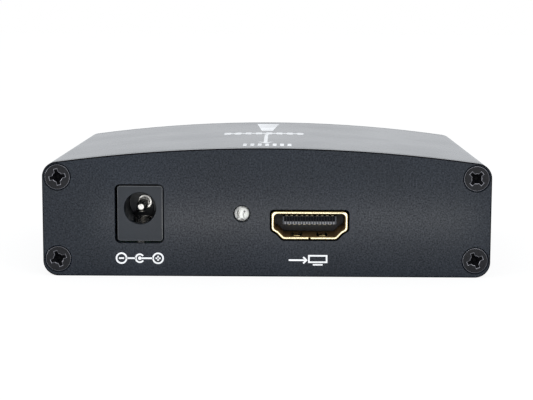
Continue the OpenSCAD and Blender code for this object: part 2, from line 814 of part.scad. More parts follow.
module vga_contacts() {
    color("#d0ab57") for (row = [0 : vga_rows - 1], k = [0 : vga_columns - 1]) {
        spot = vga_spot(row, k);
        y = vga_tail_y(row);
        difference() {
            bar_y(spot[0], y, spot[1], vga_contact_r, vga_face_y - vga_metal - y);
            bar_y(spot[0], vga_face_y - vga_shell_l, spot[1], vga_tail_r, vga_shell_l);
        }
        translate([spot[0], y, board_stand - tail_below])
            cylinder(r = vga_tail_r, h = spot[1] - board_stand + tail_below);
    }
}

module vga_jackscrews() {
    color("#c3c6c9") for (side = [-1, 1])
        translate([vga_x + side * jackscrew_span / 2, rear_y, vga_z]) rotate([-90, 0, 0]) difference() {
            union() {
                cylinder(r = jack_hex_w / 2 / cos(30), h = jack_hex_l, $fn = 6);
                translate([0, 0, vga_flange_y - rear_y - vga_housing_d / 2])
                    cylinder(r = jack_stud_r, h = rear_y - vga_flange_y + vga_housing_d / 2);
            }
            translate([0, 0, jack_hex_l - jack_thread_d])
                cylinder(r = jack_thread_r, h = jack_thread_d + over);
        }
}

module audio_housing() {
    color("#232427") difference() {
        block(audio_x, audio_root_y, board_top, audio_housing_w,
            audio_housing_d - slip, audio_housing_h);
        for (side = [-1, 1]) bar_y(audio_spot(side), audio_root_y - over, audio_z,
            audio_root_r + seat, audio_housing_d + 2 * over);
    }
}

// Coloured ring that centres a sleeve in the panel
module audio_collar(x) {
    root_y = rear_inner_y - slip;
    difference() {
        bar_y(x, root_y, audio_z, audio_collar_r, audio_front_y - root_y);
        bar_y(x, root_y - over, audio_z, audio_root_r + seat, audio_front_y - root_y + 2 * over);
    }
}
module audio_left_collar() {
    color("#e9e9e6") audio_collar(audio_spot(-1));
}
module audio_right_collar() {
    color("#b3202b") audio_collar(audio_spot(1));
}

// Coloured core inside a sleeve, with the centre socket in its face
module audio_insulator(x) {
    difference() {
        union() {
            bar_y(x, audio_root_y + tail_t, audio_z, audio_throat_r - seat,
                audio_web_y - audio_root_y);
            bar_y(x, audio_web_y + seat, audio_z, audio_inner_r - seat,
                audio_tip_y - audio_face_drop - audio_web_y - seat);
        }
        bar_y(x, audio_root_y, audio_z, audio_contact_r + audio_contact_wall + seat,
            audio_bore_y - audio_root_y);
        bar_y(x, audio_root_y, audio_z, audio_bore_r, audio_tip_y - audio_root_y);
    }
}
module audio_left_insulator() {
    color("#e9e9e6") audio_insulator(audio_spot(-1));
}
module audio_right_insulator() {
    color("#b3202b") audio_insulator(audio_spot(1));
}

// Outer sleeve, with the thinner root that the block holds
module audio_sleeve(x) {
    difference() {
        union() {
            bar_y(x, audio_front_y, audio_z, audio_sleeve_r, audio_sleeve_l);
            bar_y(x, audio_root_y, audio_z, audio_root_r, audio_front_y - audio_root_y);
        }
        bar_y(x, audio_web_y, audio_z, audio_inner_r, audio_sleeve_l);
        bar_y(x, audio_root_y - over, audio_z, audio_throat_r, audio_web_y - audio_root_y + 2 * over);
    }
}
module audio_left_sleeve() {
    color("#cdd0d2") audio_sleeve(audio_spot(-1));
}
module audio_right_sleeve() {
    color("#cdd0d2") audio_sleeve(audio_spot(1));
}

module audio_centre_contacts() {
    color("#cfcbbd") for (side = [-1, 1]) {
        x = audio_spot(side);
        difference() {
            bar_y(x, audio_root_y, audio_z, audio_contact_r + audio_contact_wall,
                audio_bore_y - audio_root_y - seat);
            bar_y(x, audio_root_y + tail_t, audio_z, audio_contact_r, audio_tip_y);
        }
        block(x, audio_root_y - tail_t, board_stand - tail_below, tail_w, tail_t,
            audio_z - board_stand + tail_below);
    }
}

// Gull-wing lead that leaves a package at the origin towards +X, its seam seam_h above the board
module gull_lead(w, seam_h) {
    knee = lead_reach - lead_foot;
    translate([0, w / 2, 0]) rotate([90, 0, 0]) linear_extrude(w) polygon([
        [0, seam_h], [knee, seam_h], [knee, lead_t], [lead_reach, lead_t], [lead_reach, 0],
        [knee - lead_t, 0], [knee - lead_t, seam_h - lead_t], [0, seam_h - lead_t]
    ]);
}

// A row of gull-wing leads on the +X and -X sides of a package w wide
module lead_rows(w, count, pitch, seam_h) {
    for (side = [0, 180], k = [0 : count - 1])
        rotate([0, 0, side]) translate([w / 2, (k - (count - 1) / 2) * pitch, 0])
            gull_lead(lead_w, seam_h);
}

// Children on the board at a place
module on_board(spot) {
    translate([spot[0], spot[1], board_top]) children();
}

// Moulded package of size [x, y, z], held off the board, with a dimple over its first lead
module package(size) {
    difference() {
        translate([-size[0] / 2, -size[1] / 2, chip_clear]) cube([size[0], size[1], size[2] - chip_clear]);
        translate([-size[0] / 2 + 3 * dimple_r, -size[1] / 2 + 3 * dimple_r, size[2] - dimple_depth])
            cylinder(r = dimple_r, h = dimple_depth + over);
    }
}

function place(share) = [share[0] * board_side, share[1] * board_end];
chip_place = place(chip_share);
chip_edge = chip_w / 2 + lead_reach + part_gap + small_size[0] / 2;
crystal_place = chip_place + [
    chip_w / 2 + lead_reach + part_gap + crystal_size[0] / 2, chip_w / 2 + crystal_size[1] / 2
];
chip_rows = [-1.5, -0.5, 0.5, 1.5] * small_step;
small_places = concat(
    [for (side = [-1, 1], y = chip_rows) chip_place + [side * chip_edge, y]],
    [for (side = [-1, 1], x = [-1, 0, 1] * small_step) chip_place + [x, side * chip_edge]]
);
array_y = hdmi_back_y + seat + contact_row + contact_t + contact_foot + part_gap + array_size[1] / 2;
array_places = [[hdmi_x - array_x, array_y], [hdmi_x + array_x, array_y]];

module converter_chip() {
    color("#1b1b1d") on_board(chip_place) package([chip_w, chip_w, chip_t]);
}
module converter_chip_leads() {
    color("#c5c8cb") on_board(chip_place) for (turn = [0, 90])
        rotate([0, 0, turn]) lead_rows(chip_w, 16, lead_pitch, chip_t / 2);
}
module audio_chip() {
    color("#1b1b1d") on_board(place(audio_chip_share)) package(audio_chip_size);
}
module audio_chip_leads() {
    color("#c5c8cb") on_board(place(audio_chip_share))
        lead_rows(audio_chip_size[0], 7, lead_pitch, audio_chip_size[2] / 2);
}
module memory_chip() {
    color("#1b1b1d") on_board(place(memory_share)) package(memory_size);
}
module memory_chip_leads() {
    color("#c5c8cb") on_board(place(memory_share))
        lead_rows(memory_size[0], 4, wide_pitch, memory_size[2] / 2);
}

module regulator_bodies() {
    color("#1b1b1d") for (share = regulator_shares) on_board(place(share)) package(regulator_size);
}
module regulator_leads() {
    color("#c5c8cb") for (share = regulator_shares) on_board(place(share)) {
        for (k = [-1 : 1]) translate([regulator_size[0] / 2, k * regulator_lead_pitch, 0])
            gull_lead(regulator_lead_w, regulator_size[2] / 2);
        rotate([0, 0, 180]) translate([regulator_size[0] / 2, 0, 0])
            gull_lead(regulator_tab_w, regulator_size[2] / 2);
    }
}

module crystal_base() {
    color("#232427") on_board(crystal_place) translate([-crystal_size[0] / 2, -crystal_size[1] / 2, 0])
        cube([crystal_size[0], crystal_size[1], crystal_base_t]);
}
module crystal_can() {
    r = crystal_size[1] / 2 - slip;
    color("#c9cccf") on_board(crystal_place) translate([0, 0, crystal_base_t])
        linear_extrude(crystal_size[2] - crystal_base_t) {
            square([crystal_size[0] - 2 * slip - 2 * r, 2 * r], center = true);
            for (side = [-1, 1]) translate([side * (crystal_size[0] / 2 - slip - r), 0]) circle(r = r);
        }
}

module capacitor_bases() {
    w = capacitor_base_w;
    cut = capacitor_cut;
    color("#1f2022") for (share = capacitor_shares) on_board(place(share))
        linear_extrude(capacitor_base_t) polygon([
            [-w / 2, -w / 2], [w / 2 - cut, -w / 2], [w / 2, cut - w / 2],
            [w / 2, w / 2 - cut], [w / 2 - cut, w / 2], [-w / 2, w / 2]
        ]);
}
module capacitor_cans() {
    r = capacitor_r;
    neck = r - capacitor_groove;
    low = capacitor_base_t + 2 * capacitor_groove;
    color("#c9cccf") for (share = capacitor_shares) on_board(place(share)) rotate_extrude() polygon([
        [0, capacitor_base_t], [r, capacitor_base_t], [r, low], [neck, low + capacitor_groove],
        [r, low + 2 * capacitor_groove], [r, capacitor_h - capacitor_groove],
        [r - capacitor_groove, capacitor_h], [0, capacitor_h]
    ]);
}

module inductor_core() {
    r = inductor_w / 2;
    color("#3c3c3e") on_board(place(inductor_share)) {
        cylinder(r = r, h = inductor_flange_t);
        cylinder(r = r - inductor_waist, h = inductor_h);
        translate([0, 0, inductor_h - inductor_flange_t]) cylinder(r = r, h = inductor_flange_t);
    }
}
module inductor_winding() {
    r = inductor_w / 2;
    color("#a8612f") on_board(place(inductor_share)) translate([0, 0, inductor_flange_t]) difference() {
        cylinder(r = r - slip, h = inductor_h - 2 * inductor_flange_t);
        translate([0, 0, -over]) cylinder(r = r - inductor_waist, h = inductor_h);
    }
}

// Small two-ended parts of one size on a list of places, one solid each
module small_parts(places, size) {
    for (spot = places) on_board(spot)
        translate([-size[0] / 2, -size[1] / 2, 0]) cube(size);
}
module chip_capacitors() {
    color("#b59a6d") small_parts(small_places, small_size);
}
module chip_resistors() {
    color("#2a2a2c") small_parts([for (share = resistor_shares) place(share)], resistor_size);
}
module protection_arrays() {
    color("#1b1b1d") small_parts(array_places, array_size);
}

module input_diode() {
    color("#1b1b1d") on_board(place(diode_share)) {
        translate([-diode_size[0] / 2, -diode_size[1] / 2, 0]) cube(diode_size);
        translate([-diode_size[0] / 2 - diode_tab, -diode_size[1] / 4, 0])
            cube([diode_size[0] + 2 * diode_tab, diode_size[1] / 2, 2 * lead_t]);
    }
}

case_tube();
front_panel();
rear_panel();
front_panel_screws();
rear_panel_screws();
main_board();
dc_jack_housing();
dc_jack_centre_pin();
dc_jack_leaf_contact();
dc_jack_leaf_terminal();
dc_jack_shunt_contact();
led_lens();
led_lead_frame();
hdmi_shell();
hdmi_insulator();
hdmi_contacts();
vga_shell();
vga_insulator();
vga_housing();
vga_contacts();
vga_jackscrews();
audio_housing();
audio_left_insulator();
audio_right_insulator();
audio_left_collar();
audio_right_collar();
audio_left_sleeve();
audio_right_sleeve();
audio_centre_contacts();
converter_chip();
converter_chip_leads();
audio_chip();
audio_chip_leads();
memory_chip();
memory_chip_leads();
regulator_bodies();
regulator_leads();
crystal_can();
crystal_base();
capacitor_cans();
capacitor_bases();
inductor_core();
inductor_winding();
chip_capacitors();
chip_resistors();
input_diode();
protection_arrays();
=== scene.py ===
"""Looks of a small signal converter in an arched aluminium case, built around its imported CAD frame."""
import json
import math

import bmesh
import bpy
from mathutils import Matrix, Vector

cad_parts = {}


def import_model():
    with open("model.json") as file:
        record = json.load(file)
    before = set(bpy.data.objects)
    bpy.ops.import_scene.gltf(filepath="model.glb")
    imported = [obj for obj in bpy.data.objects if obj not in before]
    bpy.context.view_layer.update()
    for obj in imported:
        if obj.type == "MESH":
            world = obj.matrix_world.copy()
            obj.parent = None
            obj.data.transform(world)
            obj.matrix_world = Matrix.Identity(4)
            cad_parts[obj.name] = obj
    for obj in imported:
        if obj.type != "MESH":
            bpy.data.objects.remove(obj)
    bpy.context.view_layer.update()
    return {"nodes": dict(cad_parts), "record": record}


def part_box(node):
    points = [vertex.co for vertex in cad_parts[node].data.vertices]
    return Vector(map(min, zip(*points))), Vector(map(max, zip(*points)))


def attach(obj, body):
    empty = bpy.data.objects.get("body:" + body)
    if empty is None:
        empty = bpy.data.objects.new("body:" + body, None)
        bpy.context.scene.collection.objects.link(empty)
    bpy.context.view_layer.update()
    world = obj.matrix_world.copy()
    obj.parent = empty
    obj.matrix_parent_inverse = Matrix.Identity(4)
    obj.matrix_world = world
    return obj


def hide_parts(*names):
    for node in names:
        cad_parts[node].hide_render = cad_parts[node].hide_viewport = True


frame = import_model()
NODES = frame["nodes"]

MM = 0.001
BODY = "converter"

# Sizes that the CAD has, in millimetres
TOP_ARC_R = 304.0
HEAD_R = 2.45
SCREW_HOLE_R = 1.45
SINK_R = 2.6
SINK_FLAT = 0.32
DC_MOUTH_R = 3.6
DC_AXIS_Z = 13.4
LED_R = 1.5
LED_FLANGE_L = 1.0

# Vertices closer than this are one, in metres
MERGE = 1e-7


def mm_box(node):
    """Lowest and highest corner of a CAD node in millimetres."""
    low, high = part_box(node)
    return low / MM, high / MM


front_low, front_high = mm_box("front_panel")
FRONT_Y = front_low.y
REAR_Y = mm_box("rear_panel")[1].y
ARC_Z = front_high.z - TOP_ARC_R


class Nodes:
    """A material with a Principled shader, and short calls for its nodes."""

    def __init__(self, name, **principled):
        self.material = bpy.data.materials.new(name)
        self.material.use_nodes = True
        self.tree = self.material.node_tree
        self.tree.nodes.clear()
        self.output = self.tree.nodes.new("ShaderNodeOutputMaterial")
        self.shader = self.tree.nodes.new("ShaderNodeBsdfPrincipled")
        self.tree.links.new(self.shader.outputs["BSDF"], self.output.inputs["Surface"])
        for key, value in principled.items():
            self.shader.inputs[key.replace("_", " ")].default_value = value
        self.place = self.tree.nodes.new("ShaderNodeTexCoord").outputs["Object"]

    def add(self, kind, links=None, **values):
        node = self.tree.nodes.new("ShaderNode" + kind)
        for key, value in values.items():
            setattr(node, key, value)
        for socket, source in (links or {}).items():
            if hasattr(source, "links"):
                self.tree.links.new(source, node.inputs[socket])
            else:
                node.inputs[socket].default_value = source
        return node

    def noise(self, scale, detail=2.0, stretch=(1, 1, 1)):
        """Noise over the object's own metres, with scale in features a metre."""
        place = self.add("Mapping", {"Vector": self.place, "Scale": stretch})
        return self.add("TexNoise", {"Vector": place.outputs[0], "Scale": scale, "Detail": detail})

    def ramp(self, source, *stops):
        node = self.add("ValToRGB", {"Fac": source})
        elements = node.color_ramp.elements
        while len(elements) < len(stops):
            elements.new(0.5)
        for element, (position, colour) in zip(elements, stops):
            element.position = position
            element.color = colour if len(colour) == 4 else (*colour, 1)
        return node.outputs["Color"]

    def vary(self, source, low, high):
        return self.add("MapRange", {"Value": source, "To Min": low, "To Max": high}).outputs["Result"]

    def feed(self, **sockets):
        for key, source in sockets.items():
            self.tree.links.new(source, self.shader.inputs[key.replace("_", " ")])

    def bump(self, height, strength, distance):
        node = self.add("Bump", {"Height": height, "Strength": strength, "Distance": distance * MM})
        self.feed(Normal=node.outputs["Normal"])


def scaled(colour, factor):
    return tuple(c * factor for c in colour)


def blasted(name, colour, roughness, grain=4200.0, bump=0.02, ior=1.3, spread=0.35, sparkle=0.0):
    """Bead-blasted and anodised metal: fine light and dark grain, patches of handling, slight bump."""
    n = Nodes(name, Roughness=roughness, IOR=ior)
    grains = n.noise(grain, 3.0).outputs["Fac"]
    patches = n.noise(55.0, 3.0).outputs["Fac"]
    mixed = n.add("Mix", {"Factor": 0.25, "A": grains, "B": patches}).outputs[0]
    n.feed(Base_Color=n.ramp(mixed, (0.36, scaled(colour, 1 - spread)), (0.5, colour),
                             (0.66, scaled(colour, 1 + 1.6 * spread))))
    n.feed(Roughness=n.vary(patches, roughness - 0.04, roughness + 0.05))
    if sparkle:
        n.feed(Specular_IOR_Level=n.vary(grains, 0.5 - sparkle, 0.5 + sparkle))
    n.bump(grains, 0.5, bump)
    return n.material


def moulded(name, colour, roughness, bump=0.02, grain=2600.0, **principled):
    """Moulded plastic with a light spark-eroded grain."""
    n = Nodes(name, Roughness=roughness, **principled)
    grains = n.noise(grain, 2.0).outputs["Fac"]
    patches = n.noise(120.0, 2.0).outputs["Fac"]
    n.feed(Base_Color=n.ramp(patches, (0.35, scaled(colour, 0.88)), (0.65, scaled(colour, 1.12))))
    n.feed(Roughness=n.vary(grains, max(roughness - 0.08, 0.02), roughness + 0.08))
    n.bump(grains, 0.4, bump)
    return n.material


def metal(name, colour, roughness, stretch=(1, 1, 1), grain=1800.0, bump=0.004, dark=0.75):
    """Plated or drawn metal: brushed or clouded by stretched noise, with duller patches."""
    n = Nodes(name, Metallic=1.0, Roughness=roughness)
    lines = n.noise(grain, 2.0, stretch).outputs["Fac"]
    clouds = n.noise(260.0, 3.0).outputs["Fac"]
    n.feed(Base_Color=n.ramp(clouds, (0.3, scaled(colour, dark)), (0.6, colour)))
    n.feed(Roughness=n.vary(lines, max(roughness - 0.06, 0.02), roughness + 0.1))
    n.bump(lines, 0.5, bump)
    return n.material


ANODISED = (0.003, 0.0065, 0.0125)
MATERIALS = {
    "black_anodised": blasted("black_anodised", ANODISED, 0.22, grain=3300.0, bump=0.003,
                              ior=1.42, sparkle=0.55),
    "black_steel": blasted("black_steel", (0.006, 0.0062, 0.008), 0.18, grain=2500.0, bump=0.003, ior=1.32),
    "black_plastic": moulded("black_plastic", (0.0055, 0.009, 0.014), 0.34, IOR=1.46),
    "nickel_plate": metal("nickel_plate", (0.72, 0.7, 0.66), 0.22),
    "tin_plate": metal("tin_plate", (0.7, 0.71, 0.72), 0.3),
    "gold_plate": metal("gold_plate", (0.95, 0.86, 0.6), 0.2, dark=0.9),
    "blue_plastic": moulded("blue_plastic", (0.02, 0.08, 0.36), 0.35),
    "white_plastic": moulded("white_plastic", (0.8, 0.8, 0.77), 0.25),
    "red_plastic": moulded("red_plastic", (0.46, 0.012, 0.02), 0.25),
    "chip_resin": moulded("chip_resin", (0.02, 0.02, 0.022), 0.55, bump=0.03),
    "aluminium_can": metal("aluminium_can", (0.78, 0.79, 0.8), 0.35, stretch=(0.05, 0.05, 1)),
    "ferrite": moulded("ferrite", (0.05, 0.05, 0.053), 0.7, bump=0.05),
    "copper_wire": metal("copper_wire", (0.6, 0.26, 0.1), 0.3),
    "tan_ceramic": moulded("tan_ceramic", (0.42, 0.3, 0.16), 0.5),
}


def laminate():
    """Green solder mask with faint tracks under it."""
    n = Nodes("board_laminate", Roughness=0.38, Coat_Weight=0.3, Coat_Roughness=0.2)
    tracks = n.add("TexBrick", {"Vector": n.place, "Scale": 520.0, "Mortar Size": 0.06,
                                "Color1": (0.005, 0.045, 0.022, 1), "Color2": (0.006, 0.052, 0.026, 1),
                                "Mortar": (0.012, 0.1, 0.05, 1)})
    n.feed(Base_Color=tracks.outputs["Color"])
    n.bump(tracks.outputs["Fac"], 0.3, 0.03)
    return n.material


def epoxy():
    """Clear epoxy of the light's body."""
    return Nodes("clear_epoxy", Base_Color=(0.97, 0.98, 0.97, 1), Roughness=0.03, IOR=1.45,
                 Transmission_Weight=1.0).material


def painted_foil_glints():
    """Crinkled silver foil look of the cast surfaces behind a clear lens, made of light and dark patches of
    colour: painted reflections.
    """
    n = Nodes("lens_backing_painted_glints", Roughness=0.4)
    glint_patches = n.noise(1500.0, 3.0, (1, 1, 0.5)).outputs["Fac"]
    n.feed(Base_Color=n.ramp(glint_patches, (0.38, (0.4, 0.39, 0.38)), (0.43, (0.97, 0.97, 0.95)),
                             (0.5, (1, 1, 0.99))))
    return n.material


MATERIALS["board_laminate"] = laminate()
MATERIALS["clear_epoxy"] = epoxy()

# Finishes of single pieces and faces, where they differ from their slot's
INK = moulded("white_ink", (0.82, 0.83, 0.84), 0.5, bump=0.003)
TONGUE_GREY = moulded("tongue_grey", (0.17, 0.17, 0.18), 0.4)
SOCKET_GREY = moulded("socket_grey", (0.032, 0.035, 0.042), 0.5)
# Darker, rougher gold for the HDMI shell's walls: painted shade inside the opening
GOLD_WALL_SHADE = metal("gold_wall_painted_shade", (0.45, 0.29, 0.13), 0.5)
# Near-black, barely reflecting bars where the tongue's contact slots are: painted shade
TONGUE_SLOT_SHADE = moulded("tongue_slot_painted_shade", (0.003, 0.003, 0.004), 0.6, bump=0.002, IOR=1.15)
# Near-black, barely reflecting finish for the insides of the screw recesses: painted shade
RECESS_SHADE = moulded("recess_painted_shade", (0.004, 0.004, 0.005), 0.5, bump=0.002, IOR=1.12)
# Light and dark patches that stand for the foil's reflections: painted reflections
BACKING_GLINTS = painted_foil_glints()
# Near-white plain colour for the light's reflector cup in place of its metal: a painted reflection
CUP_PAINTED_BRIGHT = moulded("cup_painted_reflection", (0.96, 0.96, 0.92), 0.3, bump=0.002)
POST_GREY = moulded("post_grey", (0.3, 0.29, 0.27), 0.3, bump=0.002)
DIE_GREY = moulded("die_grey", (0.06, 0.055, 0.05), 0.4, bump=0.002)
DULL_GOLD = metal("dull_gold", (0.3, 0.26, 0.18), 0.35)

# Finish of the rounded edges by slot, where it differs from the faces. On the anodised, plastic and gold
# edges this finish is painted light.
EDGE_MATERIALS = {
    # Anodised edges: near-black and barely reflecting, a painted dark reflection along the panel edges and
    # hole rims
    "black_anodised": moulded("painted_dark_reflection_edge", (0.003, 0.003, 0.004), 0.5, bump=0.001, IOR=1.1),
    "black_steel": metal("rubbed_steel", (0.22, 0.22, 0.24), 0.22),
    # Plastic edges: lighter and more reflective than the faces, a painted highlight along the rounded edges
    "black_plastic": moulded("plastic_painted_highlight_edge", (0.03, 0.034, 0.04), 0.2, IOR=2.0),
    # Gold edges: a darker copy of the gold, painted shade along the rounded edges of the HDMI shell
    "gold_plate": metal("gold_painted_shade_edge", (0.5, 0.39, 0.19), 0.25),
}

# The drawn tube is a little glossier than the plates
CASE_ANODISED = blasted("case_anodised", ANODISED, 0.2, grain=3300.0, bump=0.002, ior=1.48, sparkle=0.3)

SLOTS = {part["node"]: part["material_slot"] for part in frame["record"]["subparts"]}
for name, slot in SLOTS.items():
    NODES[name].data.materials.clear()
    NODES[name].data.materials.append(MATERIALS[slot])
NODES["hdmi_contacts"].data.materials[0] = DULL_GOLD
NODES["case_tube"].data.materials[0] = CASE_ANODISED


# Pieces
BEVEL_ABOVE = 35.0
BEVEL_STEPS = 2
SMOOTH_BELOW = 32.0


def softened(node, width):
    """A CAD node's solids with their sharp edges rounded off by width in millimetres."""
    bm = bmesh.new()
    bm.from_mesh(NODES[node].data)
    bmesh.ops.remove_doubles(bm, verts=bm.verts, dist=MERGE)
    bmesh.ops.dissolve_limit(bm, angle_limit=math.radians(0.5), verts=bm.verts, edges=bm.edges)
    sharp = [e for e in bm.edges if e.is_manifold and e.calc_face_angle() > math.radians(BEVEL_ABOVE)]
    bmesh.ops.bevel(bm, geom=sharp, offset=width * MM, segments=BEVEL_STEPS, profile=0.5,
                    affect="EDGES", clamp_overlap=False, material=1)
    mesh = bpy.data.meshes.new(node + "_soft")
    bm.to_mesh(mesh)
    bm.free()
    return mesh


def piece(name, mesh, slot, replaces=(), material=None, body=BODY):
    """Shows a mesh as a piece that rides on the body. Faces with index 1 get the finish of edges."""
    obj = bpy.data.objects.new(name, mesh)
    bpy.context.scene.collection.objects.link(obj)
    mesh.materials.append(material or MATERIALS[slot])
    mesh.materials.append(EDGE_MATERIALS.get(slot, MATERIALS[slot]))
    mesh.polygons.foreach_set("use_smooth", [True] * len(mesh.polygons))
    mesh.set_sharp_from_angle(angle=math.radians(SMOOTH_BELOW))
    mesh.update()
    weighted = obj.modifiers.new("weighted", "WEIGHTED_NORMAL")
    weighted.keep_sharp = True
    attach(obj, body)
    if replaces:
        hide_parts(*replaces)
    return obj


# Widths of the rounded edges in millimetres
EDGES = {
    "front_panel_screws": 0.07, "rear_panel_screws": 0.07,
    "dc_jack_housing": 0.18, "dc_jack_centre_pin": 0.1, "hdmi_shell": 0.14, "hdmi_insulator": 0.06,
    "vga_shell": 0.12, "vga_insulator": 0.1, "vga_housing": 0.2, "vga_jackscrews": 0.2,
    "audio_housing": 0.2, "audio_left_collar": 0.2, "audio_right_collar": 0.2,
    "audio_left_sleeve": 0.12, "audio_right_sleeve": 0.12,
    "audio_left_insulator": 0.15, "audio_right_insulator": 0.15,
}
dressed = {node: piece(node + "_dressed", softened(node, width), SLOTS[node], [node])
           for node, width in EDGES.items()}


def turned(name, profile, place, steps=40):
    """A closed profile of (radius, depth) points turned about +Y through place, in millimetres."""
    bm = bmesh.new()
    verts = [bm.verts.new((r * MM, d * MM, 0)) for r, d in profile]
    edges = [bm.edges.new((a, b)) for a, b in zip(verts, verts[1:] + verts[:1])]
    bmesh.ops.spin(bm, geom=verts + edges, cent=(0, 0, 0), axis=(0, 1, 0), angle=2 * math.pi, steps=steps)
    bmesh.ops.remove_doubles(bm, verts=bm.verts, dist=MERGE)
    flat = [f for f in bm.faces if f.calc_area() < 1e-14]
    bmesh.ops.delete(bm, geom=flat, context="FACES")
    bmesh.ops.recalc_face_normals(bm, faces=bm.faces)
    bmesh.ops.translate(bm, vec=Vector(place) * MM, verts=bm.verts)
    mesh = bpy.data.meshes.new(name)
    bm.to_mesh(mesh)
    bm.free()
    return mesh


# End panels
PANEL_EDGE = 0.22
HOLE_EDGE = 0.1


def face_loops(node, y):
    """Outlines of a CAD node's flat face at y, each a closed list of (x, z) in millimetres."""
    bm = bmesh.new()
    bm.from_mesh(NODES[node].data)
    bmesh.ops.remove_doubles(bm, verts=bm.verts, dist=MERGE)
    flat = [f for f in bm.faces if all(abs(v.co.y / MM - y) < 0.001 for v in f.verts)]
    rims = {}
    for f in flat:
        for loop in f.loops:
            if not any(other != f and other in flat for other in loop.edge.link_faces):
                rims[loop.vert] = loop.link_loop_next.vert
    loops = []
    while rims:
        start = here = next(iter(rims))
        loop = []
        while here in rims:
            loop.append((here.co.x / MM, here.co.z / MM))
            here = rims.pop(here)
        loops.append(loop)
    bm.free()
    return loops


def plate(bm, loops, y0, y1, steps=3):
    """A plate between y0 and y1 inside the first of loops, with the others as holes and rounded edges."""
    turns = [math.pi / 2 * k / steps for k in range(steps + 1)]
    caps = ([], [])
    for points in loops:
        edge = PANEL_EDGE if points is loops[0] else HOLE_EDGE
        rounds = [(edge * (1 - math.sin(t)), edge * (1 - math.cos(t))) for t in turns]
        levels = [(inset, y0 + rise) for inset, rise in rounds]
        levels += [(inset, y1 - rise) for inset, rise in rounds[::-1]]
        corners = [Vector(p) for p in points]
        shifts = []
        for k, here in enumerate(corners):
            before = (here - corners[k - 1]).normalized()
            after = (corners[(k + 1) % len(corners)] - here).normalized()
            side = Vector((-(before + after).y, (before + after).x)).normalized()
            shifts.append(side / max(side.dot(Vector((-after.y, after.x))), 0.5))
        rings = [[bm.verts.new(Vector((p.x + s.x * inset, y, p.y + s.y * inset)) * MM)
                  for p, s in zip(corners, shifts)] for inset, y in levels]
        for near, far in zip(rings, rings[1:]):
            for k in range(len(corners)):
                bm.faces.new((near[k - 1], near[k], far[k], far[k - 1]))
        for cap, ring in zip(caps, (rings[0], rings[-1])):
            cap += [bm.edges.get((ring[k - 1], ring[k])) for k in range(len(ring))]
    for cap in caps:
        bmesh.ops.triangle_fill(bm, use_beauty=True, edges=cap)


def panel(node, outer_y, inward):
    """An end panel with rounded edges all round, and the countersunk seats of its screws."""
    low, high = mm_box(node)
    depth = high.y - low.y
    bm = bmesh.new()
    loops = face_loops(node, outer_y)
    if inward < 0:
        loops = [loop[::-1] for loop in loops]
    plate(bm, loops, low.y, high.y)
    bmesh.ops.recalc_face_normals(bm, faces=bm.faces)
    # Rounded edge faces take the edge finish, a painted dark reflection
    for face in bm.faces:
        on_edge = 0.2 < abs(face.normal.y) < 0.97
        face.material_index = int(on_edge)
    seat = [(SINK_R, HOLE_EDGE), (SCREW_HOLE_R, SINK_FLAT + SINK_R - SCREW_HOLE_R),
            (SCREW_HOLE_R, depth - HOLE_EDGE), (SINK_R, depth - HOLE_EDGE)]
    for x in (-CORNER_X, CORNER_X):
        for z in (LOW_SCREW_Z, HIGH_SCREW_Z):
            ring = turned("seat", [(r, inward * d) for r, d in seat], (x, outer_y, z))
            bm.from_mesh(ring)
            bpy.data.meshes.remove(ring)
    mesh = bpy.data.meshes.new(node + "_dressed")
    bm.to_mesh(mesh)
    bm.free()
    piece(node + "_dressed", mesh, SLOTS[node], [node])
    for face in mesh.polygons:
        if abs(face.normal.y) > 0.999:
            face.use_smooth = False


screws_low, screws_high = mm_box("front_panel_screws")
CORNER_X = screws_high.x - HEAD_R
LOW_SCREW_Z = screws_low.z + HEAD_R
HIGH_SCREW_Z = screws_high.z - HEAD_R

# Where the painted shade of a cross recess lies: its radius, and depths where walls, lower edges and floor
# start
RECESS_R = 1.7
RECESS_WALL = 0.02
RECESS_EDGE = 0.25
RECESS_END = 1.35


def paint_recess_shade(node, outer_y, inward):
    """Paints shade on the inner faces of the cross recesses: a dull near-black that lets them read as
    holes.
    """
    mesh = dressed[node].data
    mesh.materials.append(RECESS_SHADE)
    head_top = min(inward * (v.co.y / MM - outer_y) for v in mesh.vertices)
    for face in mesh.polygons:
        x, y, z = face.center / MM
        screw_z = LOW_SCREW_Z if z < (LOW_SCREW_Z + HIGH_SCREW_Z) / 2 else HIGH_SCREW_Z
        depth = inward * (y - outer_y) - head_top
        inside = math.hypot(abs(x) - CORNER_X, z - screw_z) < RECESS_R and depth < RECESS_END
        if inside and depth > (RECESS_WALL if face.material_index == 0 else RECESS_EDGE):
            face.material_index = len(mesh.materials) - 1


def plain_mouth():
    """Leaves the rim of the power socket's round mouth in its face's finish, without the painted highlight
    of the rounded edges.
    """
    low, high = mm_box("dc_jack_centre_pin")
    mesh = dressed["dc_jack_housing"].data
    for face in mesh.polygons:
        x, y, z = face.center / MM
        if math.hypot(x - (low.x + high.x) / 2, z - DC_AXIS_Z) < DC_MOUTH_R:
            face.material_index = 0


def shade_hdmi():
    """Grey for the HDMI socket's moulding, and a darker gold on the walls of its shell than on the lip:
    painted shade.
    """
    moulding = dressed["hdmi_insulator"].data
    for index in range(len(moulding.materials)):
        moulding.materials[index] = SOCKET_GREY
    shell = dressed["hdmi_shell"].data
    shell.materials.append(GOLD_WALL_SHADE)
    for face in shell.polygons:
        if face.material_index == 0 and abs(face.normal.y) < 0.5:
            face.material_index = len(shell.materials) - 1


paint_recess_shade("front_panel_screws", FRONT_Y, 1)
paint_recess_shade("rear_panel_screws", REAR_Y, -1)
plain_mouth()
shade_hdmi()
panel("front_panel", FRONT_Y, 1)
panel("rear_panel", REAR_Y, -1)

# Indicator light, with what shows inside its clear body
led_low, led_high = mm_box("led_lens")
LED_X = (led_low.x + led_high.x) / 2
LED_Z = (led_low.z + led_high.z) / 2
LED_L = led_high.y - led_low.y
LED_FLANGE_R = (led_high.x - led_low.x) / 2
INSIDE_Y = led_low.y + 1.15
CUP_X = LED_X + 0.38
CUP_Z = LED_Z + 0.14


